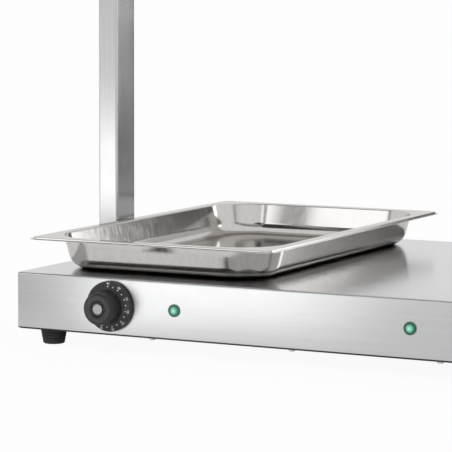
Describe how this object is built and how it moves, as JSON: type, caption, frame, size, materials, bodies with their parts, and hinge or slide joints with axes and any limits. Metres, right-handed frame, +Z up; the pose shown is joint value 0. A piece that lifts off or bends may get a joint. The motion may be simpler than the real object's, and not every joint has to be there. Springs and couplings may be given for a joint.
{
  "type": "food warmer",
  "caption": "Countertop food warmer: heated steel base with thermostat knobs and pilot lamps, two side posts, an overhead infrared heat bridge and a lift-off food pan.",
  "frame": {"origin": "on the table plane under the feet, in the middle of the object's outline seen from above", "axes": "+X to the right along the front, +Y from the front controls to the back, +Z up"},
  "size_m": [0.774, 0.6054, 0.517],
  "materials": {
    "satin_steel": "satin, fine horizontal grain",
    "polished_steel": "polished, drawn",
    "inner_steel": "galvanised sheet",
    "zinc_fasteners": "zinc plated",
    "black_plastic": "fine matt moulding",
    "black_rubber": "ribbed, matt",
    "silver_cap": "satin silver",
    "green_lens": "clear green, lit from behind",
    "reflector_aluminium": "bright rolled",
    "milky_quartz": "milky quartz",
    "ceramic": "unglazed",
    "mineral_wool": "pressed mineral wool",
    "heating_foil": "foil over heating wire",
    "copper_tube": "drawn copper",
    "white_print": "printed marks of the dials and the rocker",
    "heating_wire": "oxidised resistance wire"
  },
  "bodies": {
    "warmer": {"base_shell": "satin_steel", "bottom_plate": "inner_steel", "bottom_screws": "zinc_fasteners", "bridge_end_left": "satin_steel", "bridge_end_right": "satin_steel", "bridge_shell": "satin_steel", "bulb_clips": "inner_steel", "cable_gland": "black_plastic", "earth_stud": "zinc_fasteners", "filament_left": "heating_wire", "filament_right": "heating_wire", "foot_front_left": "black_rubber", "foot_front_right": "black_rubber", "foot_nuts": "zinc_fasteners", "foot_rear_left": "black_rubber", "foot_rear_right": "black_rubber", "foot_screws": "zinc_fasteners", "gland_nut": "black_plastic", "guard_left": "zinc_fasteners", "guard_right": "zinc_fasteners", "heating_mat_left": "heating_foil", "heating_mat_right": "heating_foil", "insulation_left": "mineral_wool", "insulation_right": "mineral_wool", "pilot_body_left": "black_plastic", "pilot_body_right": "black_plastic", "pilot_lens_left": "green_lens", "pilot_lens_right": "green_lens", "pilot_nuts": "zinc_fasteners", "post_bolts": "zinc_fasteners", "post_end_caps": "black_plastic", "post_left": "satin_steel", "post_nuts": "zinc_fasteners", "post_right": "satin_steel", "pressure_nuts": "zinc_fasteners", "pressure_plate_left": "inner_steel", "pressure_plate_right": "inner_steel", "pressure_studs": "zinc_fasteners", "quartz_tube_left": "milky_quartz", "quartz_tube_right": "milky_quartz", "reflector_left": "reflector_aluminium", "reflector_right": "reflector_aluminium", "sensor_left": "copper_tube", "sensor_right": "copper_tube", "switch_bezel": "black_plastic", "terminal_block": "ceramic", "thermostat_left": "ceramic", "thermostat_right": "ceramic", "thermostat_screws": "zinc_fasteners", "tube_brackets": "inner_steel", "tube_ends": "ceramic"},
    "food_pan": {"food_pan": "polished_steel"},
    "lamp_rocker": {"rocker": "black_plastic"},
    "control_left": {"knob_left": "black_plastic", "knob_cap_left": "silver_cap", "spindle_left": "zinc_fasteners"},
    "control_right": {"knob_right": "black_plastic", "knob_cap_right": "silver_cap", "spindle_right": "zinc_fasteners"}
  },
  "joints": [
    {"name": "control_left_turn", "type": "hinge", "parent": "warmer", "child": "control_left", "pos_m": [-0.231, -0.26925, 0.054], "axis": [0, -1, 0], "range_deg": [0, 240]},
    {"name": "control_right_turn", "type": "hinge", "parent": "warmer", "child": "control_right", "pos_m": [0.231, -0.26925, 0.054], "axis": [0, -1, 0], "range_deg": [0, 240]},
    {"name": "lamp_rocker_tilt", "type": "hinge", "parent": "warmer", "child": "lamp_rocker", "pos_m": [0.29, -0.09425, 0.4715], "axis": [0, 0, -1], "range_deg": [0, 14]},
    {"name": "pan_lift", "type": "slide", "parent": "warmer", "child": "food_pan", "axis": [0, 0, 1], "range_m": [0, 0.28]}
  ]
}
